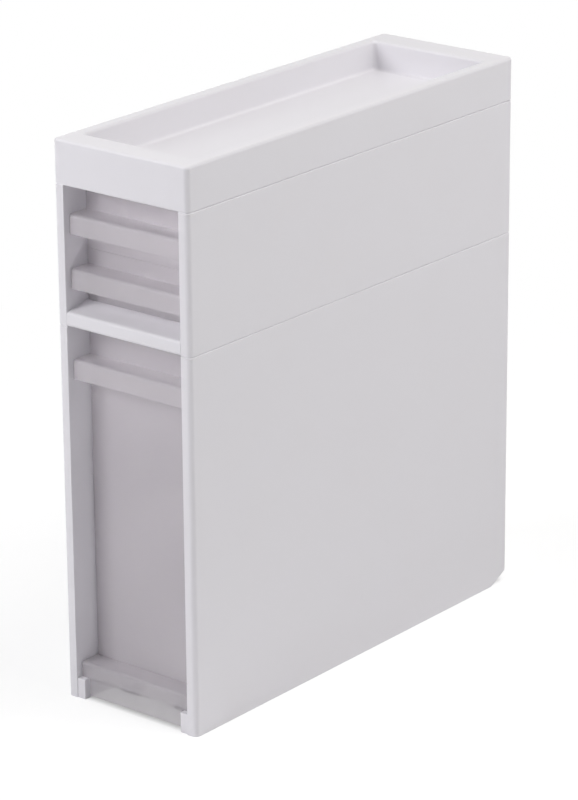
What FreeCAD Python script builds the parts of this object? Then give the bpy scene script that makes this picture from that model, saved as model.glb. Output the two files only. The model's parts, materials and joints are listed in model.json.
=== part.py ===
import FreeCAD, Part
import math
import os

Vector = FreeCAD.Vector

os.makedirs("parts", exist_ok=True)

# A slim moulded storage cabinet, in millimetres. X is the width, the front faces -Y, Z rises from the floor.

# Overall
width = 160.0
depth = 490.0
lower_height = 372.0        # floor to the seam between the two modules
upper_height = 135.0        # that seam to the seam under the tray
tray_height = 43.0          # skirt of the top tray
corner_radius = 5.0         # outer upright edges
seam_chamfer = 1.0          # bevel that makes each seam a fine groove
edge_round = 0.7            # softened inner and lower edges
seat_clearance = 0.15       # tabs in slots, panels in grooves, pins in holes
overrun = 1.0               # cutting tools pass the surface by this much

# Side panels
side_thickness = 11.5
side_skin = 2.6
front_stile = 35.0          # solid front edge of a panel
rear_stile = 24.0           # solid rear edge of a panel
panel_band = 12.0           # solid bottom and top edges of a panel
panel_rib = 2.4
pocket_columns = 3
upper_pocket_rows = 1       # above and below the upper runners
lower_pocket_rows = 4

# Guide rails, with the feet, clipped to the bottom of the lower panels
rail_width = 9.0
rail_height = 20.0
rail_wall = 2.6
rail_tab_length = 16.0
rail_tab_reach = 5.0
rail_tab_shares = (0.06, 0.45, 0.85)
foot_length = 14.0
skirting_length = 27.0      # cut that clears a skirting board
skirting_height = 13.0

# Top tray
tray_wall = 2.6
rim_side = 13.0
rim_front = 27.0
rim_back = 31.0
recess_depth = 29.0
recess_draft = 2.0
recess_radius = 4.5
recess_floor_round = 3.0
rim_round = 3.0
tray_rib = 2.2
tray_rib_drop = 8.0
tray_rib_count = 5

# Middle shelf
crossbar_height = 14.0
crossbar_depth = 12.0
crossbar_round = 3.5
ramp_rise = 5.5             # shelf above the crossbar's front edge, reached at the drawers' front wall
shelf_skin = 3.0
shelf_rib = 2.4
shelf_rib_count = 4
shelf_tab_length = 26.0
shelf_tab_height = 5.0
shelf_tab_reach = 6.0
shelf_tab_shares = (0.12, 0.5, 0.88)

# Back panels
back_thickness = 2.5
back_inset = 6.5            # panel's rear face to the cabinet's rear face
groove_depth = 4.0
back_rib_width = 3.0
back_rib_height = 3.0
back_rib_spacing = 45.0
lower_back_gap = 2.0        # above the guide rails

# Pins between the modules and under the tray
pin_diameter = 6.0
pin_half_length = 9.0
pin_edge_x = 6.0            # pin axis to the cabinet's outer faces
pin_edge_y = 14.5
pin_boss_diameter = 11.0

# Rear stretcher between the rails
stretcher_depth = 18.0
stretcher_drop = 2.5        # below the rails' tops
stretcher_rise = 2.5        # clear of the floor
stretcher_wall = 2.6
stretcher_inset = 31.0      # rear face of the stretcher to the cabinet's rear face
stretcher_tab_height = 7.0

# Drawers
drawer_clearance = 1.3      # beside the panels
drawer_recess = 28.0        # front wall behind the cabinet's front
drawer_rear_gap = 8.0       # rear wall to the back panel
drawer_wall = 2.2
drawer_front_radius = 2.0
drawer_rear_radius = 4.0
drawer_floor_round = 2.0
run_clearance = 0.3         # above the runners

# Handle of every drawer: a ledge with a turned-down skirt
handle_recess = 6.0         # skirt face behind the cabinet's front
handle_skirt = 19.5
handle_wall = 2.4
handle_round = 3.0
handle_bead = 1.0           # extra thickness of the skirt's lower edge
handle_bead_height = 2.6

# Shallow drawers and their clip-in runners
shallow_names = ("second", "top")
shallow_shares = (0.45, 0.55)   # of the height that the two boxes fill
shallow_ledge_drops = (15.0, 23.0)   # each drawer's top edge to its ledge
shallow_headroom = 5.0      # above the top drawer, behind the tray's skirt
front_lap = 3.7             # front wall below the drawer's underside, before the runners' noses
runner_rise = 3.7           # top of the lower runners above the shelf
runner_headroom = 0.7       # a drawer's top edge to the runner above it
runner_width = 8.0
runner_thickness = 3.0
runner_setback = 5.0        # runner's nose behind the drawer's front wall
runner_round = 1.0
runner_tab_length = 14.0
runner_tab_reach = 5.0
runner_tab_shares = (0.15, 0.85)
runner_band = 10.0          # solid strip of the panel that takes the tabs

# Tall drawer and the roller base pegged under it
tall_clearance = 0.5        # underside above the guide rails
tall_top_gap = 6.0          # below the crossbar
tall_ledge_drop = 33.0      # crossbar's underside to the ledge
base_plate = 2.2
base_tail = 24.0            # plate behind the rear axle
peg_diameter = 6.0
peg_x = 42.0
peg_step = 32.0             # peg axes to the axles
plinth_height = 36.0        # step at the foot of the drawer's front, above the floor
plinth_round = 3.0
plinth_lift = 3.0           # clear of the floor
plinth_side_gap = 1.5       # beside the guide rails

# Rollers under the tall drawer
wheel_headroom = 1.3        # below the roller base's plate
wheel_width = 20.0
wheel_web = 14.0
wheel_rim = 2.4
wheel_hub_radius = 3.8
wheel_round = 1.5
axle_diameter = 4.0
axle_stub = 2.0             # axle past the outer lugs
axle_end_gap = 11.5         # axle's ends to the guide rails
axle_clearance = 0.05       # running fit in the lugs, radial
wheel_bore_clearance = 0.02
lug_thickness = 2.6
lug_gap = 0.4               # beside the wheel
lug_width = 10.0
lug_foot_radius = 5.0
front_axle_setback = 40.0   # behind the cabinet's front
rear_axle_inset = 78.0      # in front of the drawer's rear face

# Planes that several pieces share
half_width = width / 2
front = -depth / 2
rear = depth / 2
inner_half = half_width - side_thickness
upper_top = lower_height + upper_height
height = upper_top + tray_height
shelf_top = lower_height + crossbar_height + ramp_rise
lower_back_start = rail_height + lower_back_gap
stretcher_height = rail_height - stretcher_rise - stretcher_drop
back_rear = rear - back_inset
back_front = back_rear - back_thickness
pin_x = half_width - pin_edge_x
pin_y = depth / 2 - pin_edge_y
drawer_half = inner_half - drawer_clearance
drawer_front = front + drawer_recess
drawer_rear = back_front - drawer_rear_gap
skirt_face = front + handle_recess
rail_inner = inner_half - rail_width
runner_front = drawer_front + runner_setback
runner_rear = drawer_rear
shallow_gap = runner_headroom + runner_thickness + run_clearance
shallow_start = shelf_top + runner_rise + run_clearance
shallow_fill = upper_top - shallow_headroom - shallow_start - shallow_gap
shallow_heights = [shallow_fill * share for share in shallow_shares]
shallow_bottoms = [shallow_start, shallow_start + shallow_heights[0] + shallow_gap]
axle_half = rail_inner - axle_end_gap
outer_lug = axle_half - axle_stub - lug_thickness
wheel_x = outer_lug - lug_gap - wheel_width / 2
inner_lug = wheel_x - wheel_width / 2 - lug_gap - lug_thickness
tall_underside = rail_height + tall_clearance
wheel_radius = (tall_underside - base_plate - wheel_headroom) / 2
front_axle_y = front + front_axle_setback
rear_axle_y = drawer_rear - rear_axle_inset


def block(low, high):
    size = [h - l for l, h in zip(low, high)]
    return Part.makeBox(size[0], size[1], size[2], Vector(*low))


def upright_edges(shape, test):
    found = []
    for edge in shape.Edges:
        start, end = edge.Vertexes[0].Point, edge.Vertexes[-1].Point
        if abs(start.x - end.x) < seat_clearance and abs(start.y - end.y) < seat_clearance and test(start):
            found.append(edge)
    return found


def level_edges(shape, level, test=lambda point: True):
    found = []
    for edge in shape.Edges:
        if all(abs(v.Point.z - level) < seat_clearance for v in edge.Vertexes) and test(edge.CenterOfMass):
            found.append(edge)
    return found


def rounded_block(low, high, radius):
    solid = block(low, high)
    return solid.makeFillet(radius, upright_edges(solid, lambda point: True))


def joined(shapes):
    return shapes[0].multiFuse(shapes[1:]).removeSplitter()


def mirrored(shape):
    return shape.mirror(Vector(0, 0, 0), Vector(1, 0, 0))


def rod(radius, start, end):
    start, end = Vector(*start), Vector(*end)
    return Part.makeCylinder(radius, (end - start).Length, start, end - start)


def spread(low, high, count, thickness):
    step = (high - low - thickness * count) / (count + 1)
    return [low + step + (step + thickness) * i for i in range(count)]


def save(name, shape):
    shape.exportStep("parts/" + name + ".step")
    print(name, "solids", len(shape.Solids), "valid", shape.isValid(), "volume", round(shape.Volume))


# Places where the runners and the shelf plug into the upper panels
def runner_top(level):
    return shallow_bottoms[level] - run_clearance


def tab_places(low, high, shares, length):
    return [low + (high - low - length) * share for share in shares]


def runner_tabs(level, reach, gap):
    top = runner_top(level)
    tabs = []
    for y in tab_places(runner_front, runner_rear, runner_tab_shares, runner_tab_length):
        low = (inner_half, y - gap, top - runner_thickness - gap)
        high = (inner_half + reach, y + runner_tab_length + gap, top + gap)
        tabs.append(block(low, high))
    return tabs


def shelf_tabs(reach, gap):
    low_z = lower_height + (crossbar_height - shelf_tab_height) / 2
    tabs = []
    for y in tab_places(front, back_front, shelf_tab_shares, shelf_tab_length):
        low = (inner_half, y - gap, low_z - gap)
        high = (inner_half + reach, y + shelf_tab_length + gap, low_z + shelf_tab_height + gap)
        tabs.append(block(low, high))
    return tabs


def rail_tabs(reach, gap):
    tabs = []
    for y in tab_places(front, rear, rail_tab_shares, rail_tab_length):
        low = (inner_half, y - gap, rail_height - rail_wall - gap)
        tabs.append(block(low, (inner_half + reach, y + rail_tab_length + gap, rail_height + gap)))
    return tabs


def stretcher_box(grow):
    rear_face = rear - stretcher_inset
    middle = stretcher_rise + stretcher_height / 2
    low = (rail_inner, rear_face - stretcher_depth - grow, middle - stretcher_tab_height / 2 - grow)
    high = (rail_inner + rail_wall, rear_face + grow, middle + stretcher_tab_height / 2 + grow)
    return block(low, high)


# Pins in the four stiles: one row at the module seam, one row under the tray
def pin_row(level, radius, half_length):
    spots = [(sx * pin_x, sy * pin_y) for sx in (-1, 1) for sy in (-1, 1)]
    return [rod(radius, (x, y, level - half_length), (x, y, level + half_length)) for x, y in spots]


def pin_holes(level):
    return pin_row(level, pin_diameter / 2 + seat_clearance, pin_half_length + seat_clearance)


# Side panels: a thin skin with solid stiles and bands, pocketed from the inside between its ribs
def panel_blank(low_z, high_z, seams):
    panel = block((inner_half, front, low_z), (half_width, rear, high_z))
    panel = panel.makeFillet(corner_radius, upright_edges(panel, lambda p: p.x > inner_half + seat_clearance))
    for level in seams:
        outer = level_edges(panel, level, lambda p: p.x > inner_half + seat_clearance)
        panel = panel.makeChamfer(seam_chamfer, outer)
    inner_front = upright_edges(panel, lambda p: p.x < inner_half + seat_clearance and p.y < 0)
    return panel.makeFillet(edge_round, inner_front)


def panel_pockets(low_z, high_z, rows):
    column = (depth - front_stile - rear_stile - (pocket_columns - 1) * panel_rib) / pocket_columns
    row = (high_z - low_z - (rows - 1) * panel_rib) / rows
    pockets = []
    for i in range(pocket_columns):
        y = front + front_stile + i * (column + panel_rib)
        for j in range(rows):
            z = low_z + j * (row + panel_rib)
            low = (inner_half - overrun, y, z)
            pockets.append(block(low, (half_width - side_skin, y + column, z + row)))
    return pockets


def back_groove(low_z, high_z):
    low = (inner_half - overrun, back_front - seat_clearance, low_z - seat_clearance)
    high = (inner_half + groove_depth + seat_clearance, back_rear + seat_clearance, high_z + seat_clearance)
    return block(low, high)


def upper_panel():
    panel = panel_blank(lower_height, upper_top, (lower_height, upper_top))
    cuts = pin_holes(lower_height) + pin_holes(upper_top)
    cuts += shelf_tabs(shelf_tab_reach + seat_clearance, seat_clearance)
    bands = []
    for level in range(len(shallow_names)):
        cuts += runner_tabs(level, runner_tab_reach + seat_clearance, seat_clearance)
        bands.append(runner_top(level) - runner_thickness / 2)
    cuts += panel_pockets(bands[0] + runner_band / 2, bands[1] - runner_band / 2, upper_pocket_rows)
    cuts += panel_pockets(bands[1] + runner_band / 2, upper_top - panel_band, upper_pocket_rows)
    cuts.append(back_groove(lower_height, upper_top))
    return panel.cut(cuts)


def skirting_cut():
    start = rail_inner - overrun
    wedge = Part.makePolygon([
        Vector(start, rear - skirting_length, 0), Vector(start, rear, skirting_height),
        Vector(start, rear, 0), Vector(start, rear - skirting_length, 0),
    ])
    return Part.Face(wedge).extrude(Vector(half_width + overrun - start, 0, 0))


def lower_panel():
    panel = panel_blank(0, lower_height, (lower_height,))
    cuts = panel_pockets(rail_height + panel_band, lower_height - panel_band, lower_pocket_rows)
    cuts += pin_holes(lower_height) + rail_tabs(rail_tab_reach + seat_clearance, seat_clearance)
    cuts += [skirting_cut(), back_groove(lower_back_start, lower_height)]
    return panel.cut(cuts)


# Guide rail: a channel with a solid foot at its front, tabbed into the panel
def guide_rail():
    nose = front + seam_chamfer
    rail = block((rail_inner, nose, 0), (inner_half, rear, rail_height))
    foot_edges = upright_edges(rail, lambda p: p.x < inner_half - seat_clearance and p.y < 0)
    foot_edges += level_edges(rail, rail_height, lambda p: p.y < nose + seat_clearance)
    rail = rail.makeFillet(edge_round, foot_edges)
    hollow_low = (rail_inner + rail_wall, front + foot_length, -overrun)
    hollow = block(hollow_low, (inner_half + overrun, rear + overrun, rail_height - rail_wall))
    rail = joined([rail.cut(hollow)] + rail_tabs(rail_tab_reach, 0))
    return rail.cut([skirting_cut(), stretcher_box(seat_clearance)])


# Top tray: a shell with a deep recess, hollow under its rim, with bosses for the pins
def recess_outline(level, inset):
    low = (-half_width + rim_side + inset, front + rim_front + inset)
    high = (half_width - rim_side - inset, rear - rim_back - inset)
    sheet = Part.makePlane(high[0] - low[0], high[1] - low[1], Vector(low[0], low[1], level))
    return sheet.makeOffset2D(-recess_radius).makeOffset2D(recess_radius).OuterWire


def top_tray():
    floor_top = height - recess_depth
    body = rounded_block((-half_width, front, upper_top), (half_width, rear, height), corner_radius)
    body = body.makeFillet(rim_round, level_edges(body, height))
    body = body.makeChamfer(seam_chamfer, level_edges(body, upper_top))
    recess = Part.makeLoft([recess_outline(floor_top, recess_draft), recess_outline(height, 0)], True, True)
    recess = recess.makeFillet(recess_floor_round, level_edges(recess, floor_top))
    liner_low = (-half_width + rim_side - tray_wall, front + rim_front - tray_wall, floor_top - tray_wall)
    liner_high = (half_width - rim_side + tray_wall, rear - rim_back + tray_wall, height)
    liner = rounded_block(liner_low, liner_high, recess_radius + tray_wall)
    cavity_low = (-half_width + tray_wall, front + tray_wall, upper_top - overrun)
    cavity = rounded_block(cavity_low, (half_width - tray_wall, rear - tray_wall, height - tray_wall),
                           corner_radius - tray_wall)
    tray = body.cut(cavity.cut(liner)).cut(recess)
    tray = tray.makeFillet(rim_round, level_edges(tray, height, lambda p: abs(p.x) < half_width - rim_side / 2
                                                   and abs(p.y) < rear - rim_front / 2))
    bosses = []
    for sx in (-1, 1):
        for sy in (-1, 1):
            foot = (sx * pin_x, sy * pin_y, upper_top)
            bosses.append(rod(pin_boss_diameter / 2, foot, (foot[0], foot[1], height - tray_wall / 2)))
    shell = rounded_block((-half_width + seam_chamfer, front + seam_chamfer, upper_top),
                          (half_width - seam_chamfer, rear - seam_chamfer, height), corner_radius)
    bosses = [boss.common(shell).cut(liner) for boss in bosses]
    ribs = []
    for y in spread(liner_low[1], liner_high[1], tray_rib_count, tray_rib):
        low = (liner_low[0], y, floor_top - tray_wall - tray_rib_drop)
        ribs.append(block(low, (liner_high[0], y + tray_rib, floor_top - tray_wall / 2)))
    return joined([tray] + bosses + ribs).cut(pin_holes(upper_top))


# Middle shelf: floor of the upper module, ramped down to its front crossbar, ribbed underneath
def across(outline, half):
    points = [Vector(-half, y, z) for y, z in outline]
    return Part.Face(Part.makePolygon(points + points[:1])).extrude(Vector(2 * half, 0, 0))


def middle_shelf():
    bar_top = shelf_top - ramp_rise
    shelf = across([(front, lower_height), (back_front, lower_height), (back_front, shelf_top),
                    (drawer_front, shelf_top), (front, bar_top)], inner_half)
    front_edges = [e for e in shelf.Edges if abs(e.CenterOfMass.y - front) < seat_clearance
                   and abs(e.CenterOfMass.x) < seat_clearance]
    shelf = shelf.makeFillet(crossbar_round, front_edges)
    bay_low, bay_high = front + crossbar_depth, back_front - shelf_rib
    bay_top = bar_top + ramp_rise * crossbar_depth / drawer_recess - shelf_skin
    hollow = across([(bay_low, lower_height - overrun), (bay_high, lower_height - overrun),
                     (bay_high, shelf_top - shelf_skin), (drawer_front, shelf_top - shelf_skin),
                     (bay_low, bay_top)], inner_half - shelf_rib)
    shelf = shelf.cut(hollow)
    pieces = [shelf]
    for y in spread(bay_low, bay_high, shelf_rib_count, shelf_rib):
        pieces.append(block((-inner_half + shelf_rib, y, lower_height),
                            (inner_half - shelf_rib, y + shelf_rib, shelf_top - shelf_skin)))
    tabs = shelf_tabs(shelf_tab_reach, 0)
    return joined(pieces + tabs + [mirrored(tab) for tab in tabs])


# Back panels: flat sheets in the grooves, stiffened by two upright ribs on the inside
def back_panel(low_z, high_z, rib_low):
    reach = inner_half + groove_depth
    pieces = [block((-reach, back_front, low_z), (reach, back_rear, high_z))]
    for side in (-1, 1):
        x = side * back_rib_spacing / 2
        low = (x - back_rib_width / 2, back_front - back_rib_height, rib_low)
        pieces.append(block(low, (x + back_rib_width / 2, back_front, high_z)))
    return joined(pieces)


def base_stretcher():
    rear_face = rear - stretcher_inset
    low = (-rail_inner, rear_face - stretcher_depth, stretcher_rise)
    body = block(low, (rail_inner, rear_face, stretcher_rise + stretcher_height))
    hollow = block((-rail_inner + stretcher_wall, low[1] + stretcher_wall, stretcher_rise - overrun),
                   (rail_inner - stretcher_wall, rear_face - stretcher_wall,
                    stretcher_rise + stretcher_height - stretcher_wall))
    tab = stretcher_box(0)
    return joined([body.cut(hollow), tab, mirrored(tab)])


def runner(level):
    top = runner_top(level)
    low = (inner_half - runner_width, runner_front, top - runner_thickness)
    bar = block(low, (inner_half, runner_rear, top))
    nose = [e for e in bar.Edges if e.CenterOfMass.x < inner_half - runner_width + seat_clearance
            or (e.CenterOfMass.y < runner_front + seat_clearance and e.CenterOfMass.z > top - seat_clearance)]
    bar = bar.makeFillet(runner_round, nose)
    return joined([bar] + runner_tabs(level, runner_tab_reach, 0))


# Drawers: open shells; the handle is a ledge that turns down into a skirt with a beaded edge
def drawer_shell(low_z, high_z):
    middle = (drawer_front + drawer_rear) / 2
    outer = block((-drawer_half, drawer_front, low_z), (drawer_half, drawer_rear, high_z))
    outer = outer.makeFillet(drawer_rear_radius, upright_edges(outer, lambda p: p.y > middle))
    outer = outer.makeFillet(drawer_front_radius, upright_edges(outer, lambda p: p.y < middle))
    outer = outer.makeFillet(drawer_floor_round, level_edges(outer, low_z))
    inner_half_width = drawer_half - drawer_wall
    inner_low = (-inner_half_width, drawer_front + drawer_wall, low_z + drawer_wall)
    inner = block(inner_low, (inner_half_width, drawer_rear - drawer_wall, high_z + overrun))
    return outer.cut(inner)


def handle(ledge):
    inner_face = skirt_face + handle_wall
    bottom = ledge - handle_skirt
    outline = [
        (drawer_front + drawer_wall / 2, ledge), (skirt_face, ledge), (skirt_face, bottom),
        (inner_face + handle_bead, bottom), (inner_face + handle_bead, bottom + handle_bead_height),
        (inner_face, bottom + handle_bead_height), (inner_face, ledge - handle_wall),
        (drawer_front + drawer_wall / 2, ledge - handle_wall),
    ]
    bar = across(outline, drawer_half)
    nose = level_edges(bar, ledge, lambda p: abs(p.y - skirt_face) < seat_clearance)
    bar = bar.makeFillet(handle_round, nose)
    return bar.makeFillet(edge_round, level_edges(bar, bottom, lambda p: abs(p.x) < seat_clearance))


def shallow_drawer(level):
    bottom = shallow_bottoms[level]
    top = bottom + shallow_heights[level]
    shell = drawer_shell(bottom, top)
    lap = block((-drawer_half, drawer_front, bottom - front_lap),
                (drawer_half, drawer_front + drawer_wall, bottom + drawer_floor_round))
    lap_corners = upright_edges(lap, lambda p: p.y < drawer_front + seat_clearance)
    lap = lap.makeFillet(drawer_front_radius, lap_corners)
    return joined([shell, lap, handle(top - shallow_ledge_drops[level])])


def axle_lugs(y):
    root = tall_underside - base_plate / 2
    lugs = []
    for x in (inner_lug, outer_lug):
        low = (x, y - lug_width / 2, wheel_radius)
        plate = block(low, (x + lug_thickness, y + lug_width / 2, root))
        toe = rod(lug_foot_radius, (x, y, wheel_radius), (x + lug_thickness, y, wheel_radius))
        lug = plate.fuse(toe)
        lugs += [lug, mirrored(lug)]
    return lugs


def axle_rod(y, clearance):
    ends = [(side * axle_half, y, wheel_radius) for side in (-1, 1)]
    return rod(axle_diameter / 2 + clearance, ends[0], ends[1])


def base_pegs(clearance, top):
    spots = [(side * peg_x, y) for side in (-1, 1)
             for y in (front_axle_y + peg_step, rear_axle_y - peg_step)]
    start = tall_underside - base_plate / 2
    return [rod(peg_diameter / 2 + clearance, (x, y, start), (x, y, top)) for x, y in spots]


def tall_drawer():
    shell = drawer_shell(tall_underside, lower_height - tall_top_gap)
    body = joined([shell, handle(lower_height - tall_ledge_drop)])
    return body.cut(base_pegs(seat_clearance, tall_underside + drawer_wall + overrun))


# Roller base: a plate under the tall drawer with a stepped front, lugs for the axles and pegs into the drawer
def roller_base():
    step = block((-drawer_half, skirt_face, tall_underside), (drawer_half, drawer_front, plinth_height))
    nose = level_edges(step, plinth_height, lambda p: abs(p.y - skirt_face) < seat_clearance)
    step = step.makeFillet(plinth_round, nose)
    room_low = (-drawer_half + drawer_wall, skirt_face + drawer_wall, tall_underside - overrun)
    room_high = (drawer_half - drawer_wall, drawer_front + overrun, plinth_height - drawer_wall)
    step = step.cut(block(room_low, room_high))
    apron_half = rail_inner - plinth_side_gap
    apron_high = (apron_half, skirt_face + drawer_wall, tall_underside + drawer_wall / 2)
    apron = block((-apron_half, skirt_face, plinth_lift), apron_high)
    plate = block((-apron_half, skirt_face, tall_underside - base_plate),
                  (apron_half, rear_axle_y + base_tail, tall_underside))
    lugs = axle_lugs(front_axle_y) + axle_lugs(rear_axle_y)
    pegs = base_pegs(0, tall_underside + drawer_wall)
    base = joined([plate, step, apron] + lugs + pegs)
    return base.cut([axle_rod(front_axle_y, axle_clearance), axle_rod(rear_axle_y, axle_clearance)])


# Rollers: two wheels with recessed faces on a plain axle, turned profiles
def wheel(x, y):
    half = wheel_width / 2
    bore = axle_diameter / 2 + wheel_bore_clearance
    web = wheel_web / 2
    rim = wheel_radius - wheel_rim
    corner = wheel_radius - wheel_round
    outline = [
        (-half, bore), (-half, wheel_hub_radius), (-web, wheel_hub_radius), (-web, rim), (-half, rim),
        (-half, corner), (-half + wheel_round, wheel_radius), (half - wheel_round, wheel_radius),
        (half, corner), (half, rim), (web, rim), (web, wheel_hub_radius), (half, wheel_hub_radius),
        (half, bore),
    ]
    points = [Vector(x + along, y, wheel_radius + out) for along, out in outline]
    profile = Part.Face(Part.makePolygon(points + points[:1]))
    return profile.revolve(Vector(x, y, wheel_radius), Vector(1, 0, 0), math.degrees(2 * math.pi))


def wheel_pair(y):
    return Part.makeCompound([wheel(side * wheel_x, y) for side in (-1, 1)])


upper_right = upper_panel()
lower_right = lower_panel()
save("upper_right_side", upper_right)
save("upper_left_side", mirrored(upper_right))
save("lower_right_side", lower_right)
save("lower_left_side", mirrored(lower_right))
save("right_guide_rail", guide_rail())
save("left_guide_rail", mirrored(guide_rail()))
save("top_tray", top_tray())
save("middle_shelf", middle_shelf())
save("upper_back", back_panel(lower_height, upper_top, shelf_top))
save("lower_back", back_panel(lower_back_start, lower_height, lower_back_start))
save("base_stretcher", base_stretcher())
save("module_pins", Part.makeCompound(pin_row(lower_height, pin_diameter / 2, pin_half_length)))
save("tray_pins", Part.makeCompound(pin_row(upper_top, pin_diameter / 2, pin_half_length)))
for level, name in enumerate(shallow_names):
    save(name + "_right_runner", runner(level))
    save(name + "_left_runner", mirrored(runner(level)))
    save(name + "_drawer_box", shallow_drawer(level))
save("tall_drawer_box", tall_drawer())
save("roller_base", roller_base())
for name, y in (("front", front_axle_y), ("rear", rear_axle_y)):
    save(name + "_axle", axle_rod(y, 0))
    save(name + "_wheels", wheel_pair(y))
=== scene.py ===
import bpy
import json
import math
from mathutils import Matrix, Vector


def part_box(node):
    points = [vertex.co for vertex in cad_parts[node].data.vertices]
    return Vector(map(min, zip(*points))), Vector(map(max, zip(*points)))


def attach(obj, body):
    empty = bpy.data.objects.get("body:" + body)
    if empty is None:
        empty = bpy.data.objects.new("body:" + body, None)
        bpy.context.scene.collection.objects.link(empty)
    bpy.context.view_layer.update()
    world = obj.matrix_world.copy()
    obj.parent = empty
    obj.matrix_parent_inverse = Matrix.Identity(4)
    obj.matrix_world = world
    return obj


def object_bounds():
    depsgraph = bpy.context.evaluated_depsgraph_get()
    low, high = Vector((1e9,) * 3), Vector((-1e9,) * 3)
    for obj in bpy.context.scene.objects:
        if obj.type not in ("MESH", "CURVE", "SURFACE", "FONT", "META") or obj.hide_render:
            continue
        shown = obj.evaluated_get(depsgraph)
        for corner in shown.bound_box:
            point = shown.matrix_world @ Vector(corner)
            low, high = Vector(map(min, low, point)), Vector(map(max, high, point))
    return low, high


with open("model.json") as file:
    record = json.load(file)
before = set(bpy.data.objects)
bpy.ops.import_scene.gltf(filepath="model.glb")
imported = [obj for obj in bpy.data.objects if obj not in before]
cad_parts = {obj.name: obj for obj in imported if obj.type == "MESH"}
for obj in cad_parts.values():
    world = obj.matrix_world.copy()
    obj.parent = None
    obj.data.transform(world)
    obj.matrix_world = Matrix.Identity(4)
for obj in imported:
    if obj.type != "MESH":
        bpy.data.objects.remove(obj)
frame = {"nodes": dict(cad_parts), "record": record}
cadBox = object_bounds()


# One wrapped socket: sums on it add Math nodes, and node() adds any other node of the same tree
class Wire:
    def __init__(self, tree, socket=None):
        self.tree = tree
        self.socket = socket

    def node(self, kind, settings=None, values=None, out=0):
        made = self.tree.nodes.new(kind)
        for name, value in (settings or {}).items():
            setattr(made, name, value)
        for name, value in (values or {}).items():
            if isinstance(value, Wire):
                self.tree.links.new(value.socket, made.inputs[name])
            else:
                made.inputs[name].default_value = value
        return Wire(self.tree, made.outputs[out] if made.outputs else None)

    def maths(self, operation, first, second=0.0):
        return self.node("ShaderNodeMath", {"operation": operation}, {0: first, 1: second})

    def limited(self):  # kept between 0 and 1
        return self.maths("MAXIMUM", self.maths("MINIMUM", self, 1.0), 0.0)

    def __add__(self, other):
        return self.maths("ADD", self, other)

    def __radd__(self, other):
        return self.maths("ADD", other, self)

    def __sub__(self, other):
        return self.maths("SUBTRACT", self, other)

    def __rsub__(self, other):
        return self.maths("SUBTRACT", other, self)

    def __mul__(self, other):
        return self.maths("MULTIPLY", self, other)

    def __rmul__(self, other):
        return self.maths("MULTIPLY", other, self)


def startMaterial(name):
    material = bpy.data.materials.new(name)
    material.use_nodes = True
    material.node_tree.nodes.clear()
    return material, Wire(material.node_tree)


def finishMaterial(wire, shader):
    wire.node("ShaderNodeOutputMaterial", None, {"Surface": shader})


def objectPlace(wire):
    return wire.node("ShaderNodeTexCoord", out="Object")


def noise(wire, place, scale, detail, roughness=0.5):
    values = {"Vector": place, "Scale": scale, "Detail": detail, "Roughness": roughness}
    return wire.node("ShaderNodeTexNoise", None, values)


# A Mix node has sockets for each kind of data: 6 and 7 take the colours, and 2 gives the mixed one
def blend(wire, amount, first, second):
    return wire.node("ShaderNodeMix", {"data_type": "RGBA"}, {0: amount, 6: first, 7: second}, out=2)


noiseMiddle = 0.5


def swayed(level, sway, pattern):
    return level + sway * (pattern - noiseMiddle)


def bump(wire, height, depth, strength, under=None):
    values = {"Strength": strength, "Distance": depth, "Height": height}
    if under is not None:
        values["Normal"] = under
    return wire.node("ShaderNodeBump", None, values)


# White shell: satin polypropylene with a fine eroded grain and a very slight long-wave flow
shell = {
    "colour": (0.800, 0.788, 0.826, 1.0), "warmPatch": (0.792, 0.776, 0.806, 1.0),
    "roughness": 0.42, "roughnessSway": 0.10, "ior": 1.49, "specular": 0.45,
    "grainPerMetre": 2600.0, "grainDetail": 2.0, "grainDepth": 0.00004, "grainStrength": 0.35,
    "flowPerMetre": 14.0, "flowDetail": 3.0, "flowDepth": 0.0006, "flowStrength": 0.15,
}


def shellMaterial():
    material, wire = startMaterial("whiteShell")
    place = objectPlace(wire)
    flow = noise(wire, place, shell["flowPerMetre"], shell["flowDetail"])
    grain = noise(wire, place, shell["grainPerMetre"], shell["grainDetail"])
    wave = bump(wire, flow, shell["flowDepth"], shell["flowStrength"])
    surface = wire.node("ShaderNodeBsdfPrincipled", None, {
        "Base Color": blend(wire, flow, shell["colour"], shell["warmPatch"]),
        "Roughness": swayed(shell["roughness"], shell["roughnessSway"], grain),
        "Normal": bump(wire, grain, shell["grainDepth"], shell["grainStrength"], wave),
        "IOR": shell["ior"], "Specular IOR Level": shell["specular"],
    })
    finishMaterial(wire, surface)
    return material


# Frosted drawers: natural polypropylene, matt outside, that lets some light through
frosted = {
    "colour": (0.770, 0.738, 0.772, 1.0), "smoky": (0.732, 0.700, 0.732, 1.0),
    "throughShare": 0.42, "opacity": 0.60, "baseOpacity": 0.44,  # the roller base is thinner
    "roughness": 0.50, "roughnessSway": 0.12, "ior": 1.49, "specular": 0.4,
    "cloudPerMetre": 22.0, "cloudDetail": 4.0, "cloudRoughness": 0.6,
    "grainPerMetre": 1800.0, "grainDetail": 2.0, "grainDepth": 0.00005, "grainStrength": 0.3,
}


def frostedMaterial(name, opacity):
    material, wire = startMaterial(name)
    place = objectPlace(wire)
    cloud = noise(wire, place, frosted["cloudPerMetre"], frosted["cloudDetail"], frosted["cloudRoughness"])
    grain = noise(wire, place, frosted["grainPerMetre"], frosted["grainDetail"])
    surface = wire.node("ShaderNodeBsdfPrincipled", None, {
        "Base Color": blend(wire, cloud, frosted["colour"], frosted["smoky"]),
        "Roughness": swayed(frosted["roughness"], frosted["roughnessSway"], cloud),
        "Normal": bump(wire, grain, frosted["grainDepth"], frosted["grainStrength"]),
        "IOR": frosted["ior"], "Specular IOR Level": frosted["specular"],
        "Transmission Weight": frosted["throughShare"], "Alpha": opacity,
    })
    finishMaterial(wire, surface)
    return material


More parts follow.
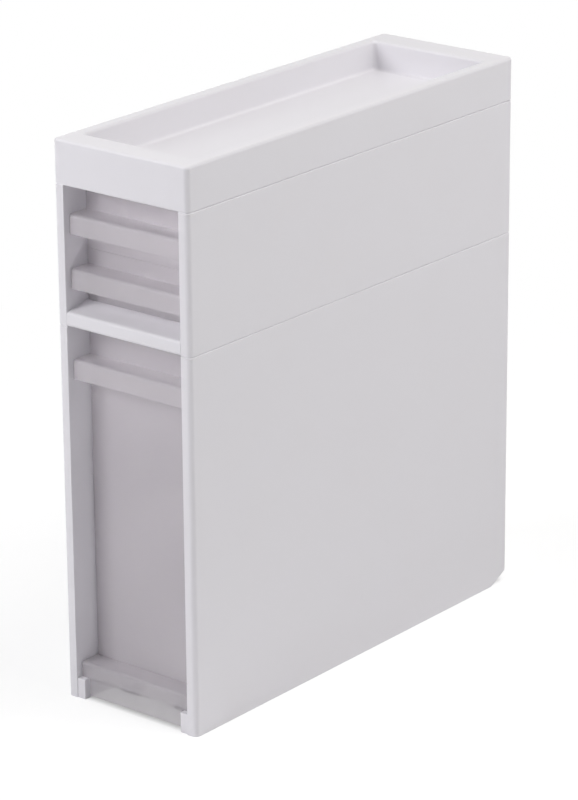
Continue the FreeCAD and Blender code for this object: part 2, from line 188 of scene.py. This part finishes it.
# Rollers: grey moulded nylon, dulled by dust
roller = {
    "colour": (0.17, 0.18, 0.225, 1.0), "dust": (0.27, 0.275, 0.30, 1.0),
    "roughness": 0.38, "roughnessSway": 0.3, "ior": 1.53,
    "dustPerMetre": 160.0, "dustDetail": 4.0, "dustRoughness": 0.65,
    "grainPerMetre": 3000.0, "grainDetail": 2.0, "grainDepth": 0.00005, "grainStrength": 0.3,
}


def rollerMaterial():
    material, wire = startMaterial("rollerNylon")
    place = objectPlace(wire)
    dust = noise(wire, place, roller["dustPerMetre"], roller["dustDetail"], roller["dustRoughness"])
    grain = noise(wire, place, roller["grainPerMetre"], roller["grainDetail"])
    surface = wire.node("ShaderNodeBsdfPrincipled", None, {
        "Base Color": blend(wire, dust, roller["colour"], roller["dust"]),
        "Roughness": swayed(roller["roughness"], roller["roughnessSway"], dust),
        "Normal": bump(wire, grain, roller["grainDepth"], roller["grainStrength"]),
        "IOR": roller["ior"],
    })
    finishMaterial(wire, surface)
    return material


# Axles: drawn steel rod, with fine lines along its length
axle = {
    "colour": (0.56, 0.565, 0.57, 1.0), "dull": (0.44, 0.44, 0.445, 1.0),
    "roughness": 0.32, "roughnessSway": 0.25, "metallic": 1.0,
    "linesPerMetre": 900.0, "lineDetail": 3.0, "lineStretch": 0.03,
}


def axleMaterial():
    material, wire = startMaterial("axleSteel")
    stretch = (axle["lineStretch"], 1.0, 1.0)
    along = wire.node("ShaderNodeMapping", None, {"Vector": objectPlace(wire), "Scale": stretch})
    lines = noise(wire, along, axle["linesPerMetre"], axle["lineDetail"])
    surface = wire.node("ShaderNodeBsdfPrincipled", None, {
        "Base Color": blend(wire, lines, axle["colour"], axle["dull"]),
        "Roughness": swayed(axle["roughness"], axle["roughnessSway"], lines),
        "Metallic": axle["metallic"],
    })
    finishMaterial(wire, surface)
    return material


finishes = {
    "white_plastic": shellMaterial(),
    "frosted_plastic": frostedMaterial("frostedDrawer", frosted["opacity"]),
    "wheel_plastic": rollerMaterial(),
    "axle_steel": axleMaterial(),
}
thinBase = frostedMaterial("frostedBase", frosted["baseOpacity"])
slotOf = {row["node"]: row["material_slot"] for row in frame["record"]["subparts"]}
for nodeName, piece in frame["nodes"].items():
    finish = thinBase if nodeName == "roller_base" else finishes[slotOf[nodeName]]
    if not piece.material_slots:
        piece.data.materials.append(finish)
    for holder in piece.material_slots:
        holder.material = finish
print("finishes on", len(frame["nodes"]), "pieces")


# Geometry Nodes tree with named number inputs, and the wire that its nodes are added to
def startTree(name, sizes):
    tree = bpy.data.node_groups.new(name, "GeometryNodeTree")
    tree.interface.new_socket("Geometry", in_out="INPUT", socket_type="NodeSocketGeometry")
    tree.interface.new_socket("Geometry", in_out="OUTPUT", socket_type="NodeSocketGeometry")
    for label, value in sizes.items():
        kind = "NodeSocketInt" if isinstance(value, int) else "NodeSocketFloat"
        tree.interface.new_socket(label, in_out="INPUT", socket_type=kind)
    source = tree.nodes.new("NodeGroupInput")
    given = {socket.name: Wire(tree, socket) for socket in source.outputs if socket.name}
    return tree, Wire(tree), given


def finishTree(wire, instances, finish):
    solid = wire.node("GeometryNodeRealizeInstances", None, {"Geometry": instances})
    coloured = wire.node("GeometryNodeSetMaterial", None, {"Geometry": solid, "Material": finish})
    wire.node("NodeGroupOutput", None, {"Geometry": coloured})


def onPoints(wire, points, instance, turn=(0.0, 0.0, 0.0)):
    values = {"Points": points, "Instance": instance, "Rotation": turn}
    return wire.node("GeometryNodeInstanceOnPoints", None, values)


# Runs the tree on the given points and keeps the result as a plain mesh that rides on one body
def bakePiece(name, tree, sizes, points, body):
    start = bpy.data.meshes.new(name + "Points")
    start.from_pydata(points, [], [])
    piece = bpy.data.objects.new(name, start)
    bpy.context.collection.objects.link(piece)
    modifier = piece.modifiers.new("build", "NODES")
    modifier.node_group = tree
    for socket in tree.interface.items_tree:
        if socket.in_out == "INPUT" and socket.name in sizes:
            modifier[socket.identifier] = sizes[socket.name]
    depsgraph = bpy.context.evaluated_depsgraph_get()
    mesh = bpy.data.meshes.new_from_object(piece.evaluated_get(depsgraph), depsgraph=depsgraph)
    piece.modifiers.remove(modifier)
    piece.data = mesh
    mesh.name = name
    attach(piece, body)


# Roller ribs: short radial webs in the sunk faces of the wheels
rollerRibs = {
    "Rib count": 6, "Rib thickness": 0.0010, "Rib depth": 0.0024,
    "Hub radius": 0.0037, "Rim radius": 0.0062,
}
sunkFace = {"width": 0.020, "middle": 0.0083}  # wheel width, and from its middle to the middle of a rib


def ribTree():
    tree, wire, given = startTree("rollerRibs", rollerRibs)
    hub, rim = given["Hub radius"], given["Rim radius"]
    middle = (hub + rim) * 0.5
    ring = wire.node("GeometryNodeMeshCircle", None, {"Vertices": given["Rib count"], "Radius": middle})
    size = wire.node("ShaderNodeCombineXYZ", None,
                     {0: rim - hub, 1: given["Rib thickness"], 2: given["Rib depth"]})
    rib = wire.node("GeometryNodeMeshCube", None, {"Size": size})
    outward = wire.node("FunctionNodeAlignRotationToVector", {"axis": "X", "pivot_axis": "Z"},
                        {"Vector": wire.node("GeometryNodeInputPosition")})
    ribs = onPoints(wire, ring, rib, outward)
    upright = (0.0, math.pi / 2, 0.0)
    turned = wire.node("GeometryNodeTransform", None, {"Geometry": ribs, "Rotation": upright})
    ribbedFace = wire.node("GeometryNodeGeometryToInstance", None, {0: turned})
    finishTree(wire, onPoints(wire, given["Geometry"], ribbedFace), finishes["wheel_plastic"])
    return tree


def addRollerRibs():
    tree = ribTree()
    for end in ("front", "rear"):
        low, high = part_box(end + "_wheels")
        y, z = (low[1] + high[1]) / 2, (low[2] + high[2]) / 2
        wheelMiddle = high[0] - sunkFace["width"] / 2
        faces = [(side * wheelMiddle + out * sunkFace["middle"], y, z)
                 for side in (-1, 1) for out in (-1, 1)]
        bakePiece(end + "RollerRibs", tree, rollerRibs, faces, end + "_wheelset")


# Ejector marks: the low round pads that the mould's pins leave on the floors of the drawers
ejectorMarks = {"Mark radius": 0.0035, "Mark height": 0.0004, "Mark sides": 28}
markGrid = {
    "columns": (-0.038, 0.038), "rows": (-0.150, -0.050, 0.050, 0.150),
    "lift": 0.00005,  # of a mark's middle above the floor, so that its foot is sunk in
}
drawerFloors = {  # floor above the lowest point of each drawer
    "top_drawer": 0.0059, "second_drawer": 0.0059, "tall_drawer": 0.0022,
}


def markTree():
    tree, wire, given = startTree("ejectorMarks", ejectorMarks)
    pad = wire.node("GeometryNodeMeshCylinder", None, {
        "Vertices": given["Mark sides"], "Radius": given["Mark radius"], "Depth": given["Mark height"],
    })
    finishTree(wire, onPoints(wire, given["Geometry"], pad), finishes["frosted_plastic"])
    return tree


def addEjectorMarks():
    tree = markTree()
    for body, floorRise in drawerFloors.items():
        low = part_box(body + "_box")[0]
        z = low[2] + floorRise + markGrid["lift"]
        spots = [(x, y, z) for x in markGrid["columns"] for y in markGrid["rows"]]
        name = body.replace("_drawer", "") + "EjectorMarks"
        bakePiece(name, tree, ejectorMarks, spots, body)


addRollerRibs()
addEjectorMarks()
print("roller ribs and ejector marks added")


# Studio: white sweep, soft lights from the front left, the right, the upper right and low behind
white = (1.0, 1.0, 1.0)
studio = {
    "floorSize": 14.0, "floorColour": (0.86, 0.86, 0.87, 1.0), "floorGlow": 0.74, "floorShade": 0.34,
    "whiteFrom": 0.35, "whiteOver": 0.75,  # from the cabinet's middle, the floor pales to pure white
    # The floor's glow is taken away under the cabinet as painted shade; the next two give that shade's
    # soft edge and the glow left in it
    "paintedShadeSoftness": 0.010, "glowLeftInPaintedShade": 0.40,  # glow that is left under the cabinet
    "ambient": 0.18, "ambientColour": (0.985, 0.985, 1.0, 1.0),
}
lamps = {
    "frontLamp": {"at": (-1.0, -2.1, 1.6), "aim": (0.0, 0.0, 0.3), "size": 1.3, "watts": 34.5,
                  "colour": (0.99, 0.985, 1.0)},
    "rightLamp": {"at": (2.15, 1.2, 1.35), "aim": (0.0, 0.0, 0.27), "size": 1.4, "watts": 12.5,
                  "colour": (1.0, 0.99, 0.98)},
    "cameraLamp": {"at": (1.5, -1.9, 2.2), "aim": (0.0, 0.0, 0.3), "size": 1.6, "watts": 3.0},
    "backLamp": {"at": (-1.5, 2.0, 0.3), "aim": (0.0, 0.0, 0.3), "size": 1.6, "rise": 0.4, "watts": 20.0},
    "topLamp": {"at": (1.1, 0.3, 2.8), "aim": (0.0, 0.0, 0.4), "size": 1.6, "watts": 37.0,
                "colour": (1.0, 0.988, 0.955)},
}
# Small lamps inside stand in for the light that comes through the white walls
insideSize = {"size": 0.1, "rise": 0.36}
insideLamps = {
    "topInsideLamp": {"at": (0.0, 0.0, 0.508), "aim": (0.0, 0.0, 0.3), "watts": 0.33},
    "secondInsideLamp": {"at": (0.0, 0.0, 0.4437), "aim": (0.0, 0.0, 0.3), "watts": 0.13},
    "tallInsideLamp": {"at": (0.0, 0.0, 0.3695), "aim": (0.0, 0.0, 0.2), "watts": 0.38},
    "tallLowLamp": {"at": (0.0, 0.0, 0.18), "aim": (0.0, 0.0, 0.1), "watts": 0.10},
}


# What the camera sees, straight or in a glossy or clear surface
def seenDirectly(wire):
    camera, glossy, through = (wire.node("ShaderNodeLightPath", out=name) for name in
                               ("Is Camera Ray", "Is Glossy Ray", "Is Transmission Ray"))
    return wire.maths("MINIMUM", camera + glossy + through, 1.0)


def makeWorld():
    world = bpy.data.worlds.new("studioWorld")
    world.use_nodes = True
    world.node_tree.nodes.clear()
    wire = Wire(world.node_tree)
    seen = seenDirectly(wire)
    dim = wire.node("ShaderNodeBackground", None,
                    {"Color": studio["ambientColour"], "Strength": studio["ambient"]})
    backdrop = wire.node("ShaderNodeBackground", None, {"Color": (*white, 1.0), "Strength": 1.0})
    mixed = wire.node("ShaderNodeMixShader", None, {0: seen, 1: dim, 2: backdrop})
    wire.node("ShaderNodeOutputWorld", None, {"Surface": mixed})
    bpy.context.scene.world = world


# Painted shade under the cabinet: share of the floor's glow that is taken away where the cabinet stands on
# it
def paintedShadeUnderCabinet(wire, place):
    inside = 1.0
    for axis in (0, 1):
        along = wire.node("ShaderNodeSeparateXYZ", None, {0: place}, out=axis)
        depth = (cadBox[1][axis] - wire.maths("ABSOLUTE", along)) * (1.0 / studio["paintedShadeSoftness"])
        inside = depth.limited() * inside
    return inside * (1.0 - studio["glowLeftInPaintedShade"])


def floorMaterial():
    material, wire = startMaterial("paleFloor")
    place = objectPlace(wire)
    shade = studio["floorShade"]
    plain = wire.node("ShaderNodeBsdfDiffuse", None, {"Color": studio["floorColour"]})
    shadowed = wire.node("ShaderNodeBsdfDiffuse", None, {"Color": (shade, shade, shade, 1.0)})
    glow = wire.node("ShaderNodeEmission", None, {"Strength": studio["floorGlow"]})
    lit = wire.node("ShaderNodeAddShader", None, {0: shadowed, 1: glow})
    # Painted shade: the floor's glow is taken away where the cabinet stands
    lit = wire.node("ShaderNodeMixShader", None, {0: paintedShadeUnderCabinet(wire, place), 1: lit, 2: shadowed})
    away = wire.node("ShaderNodeVectorMath", {"operation": "LENGTH"}, {0: place}, out=1)
    paling = (away - studio["whiteFrom"]) * (1.0 / studio["whiteOver"])
    pure = wire.node("ShaderNodeEmission", None, {"Strength": 1.0})
    sweep = wire.node("ShaderNodeMixShader", None, {0: paling.limited(), 1: lit, 2: pure})
    seen = seenDirectly(wire)
    finishMaterial(wire, wire.node("ShaderNodeMixShader", None, {0: seen, 1: plain, 2: sweep}))
    return material


def makeFloor():
    half = studio["floorSize"] / 2
    corners = [(-half, -half, 0), (half, -half, 0), (half, half, 0), (-half, half, 0)]
    mesh = bpy.data.meshes.new("studioFloor")
    mesh.from_pydata(corners, [], [(0, 1, 2, 3)])
    floor = bpy.data.objects.new("studioFloor", mesh)
    bpy.context.collection.objects.link(floor)
    mesh.materials.append(floorMaterial())


# Round lamps, or rectangles where a rise is given
def addLamp(name, at, aim, size, watts, rise=None, colour=white):
    data = bpy.data.lights.new(name, "AREA")
    data.shape = "RECTANGLE" if rise else "DISK"
    data.size = size
    data.size_y = rise or size
    data.energy = watts
    data.color = colour
    holder = bpy.data.objects.new(name, data)
    bpy.context.collection.objects.link(holder)
    holder.location = at
    holder.visible_camera = not rise  # the rectangles can stand in view, so the camera doesn't see them
    holder.rotation_mode = "QUATERNION"
    holder.rotation_quaternion = (Vector(aim) - Vector(at)).to_track_quat("-Z", "Y")


def makeLamps():
    for name, lamp in lamps.items():
        addLamp(name, **lamp)
    for name, lamp in insideLamps.items():
        addLamp(name, **insideSize, **lamp)


# Camera: the photograph's place and lens, with angles in degrees
camera = {
    "at": (2.1235, -2.6156, 1.4511), "yaw": -39.149, "pitch": 19.675, "roll": -0.4510,
    "lens": 166.58, "sensor": 36.0, "clipEnd": 50.0,
}


def makeCamera():
    yaw, pitch, roll = (math.radians(camera[name]) for name in ("yaw", "pitch", "roll"))
    ahead = Vector((math.sin(yaw) * math.cos(pitch), math.cos(yaw) * math.cos(pitch), -math.sin(pitch)))
    right = ahead.cross(Vector((0, 0, 1))).normalized()
    up = right.cross(ahead)
    across = right * math.cos(roll) + up * math.sin(roll)
    above = up * math.cos(roll) - right * math.sin(roll)
    data = bpy.data.cameras.new("photoCamera")
    data.lens = camera["lens"]
    data.sensor_width = camera["sensor"]
    data.clip_end = camera["clipEnd"]
    holder = bpy.data.objects.new("photoCamera", data)
    bpy.context.collection.objects.link(holder)
    turn = Matrix((across, above, -ahead)).transposed().to_4x4()
    holder.matrix_world = Matrix.Translation(camera["at"]) @ turn
    bpy.context.scene.camera = holder


makeWorld()
makeFloor()
makeLamps()
makeCamera()
bpy.context.scene.view_settings.view_transform = "Standard"
print("studio ready with", len(lamps) + len(insideLamps), "lamps")
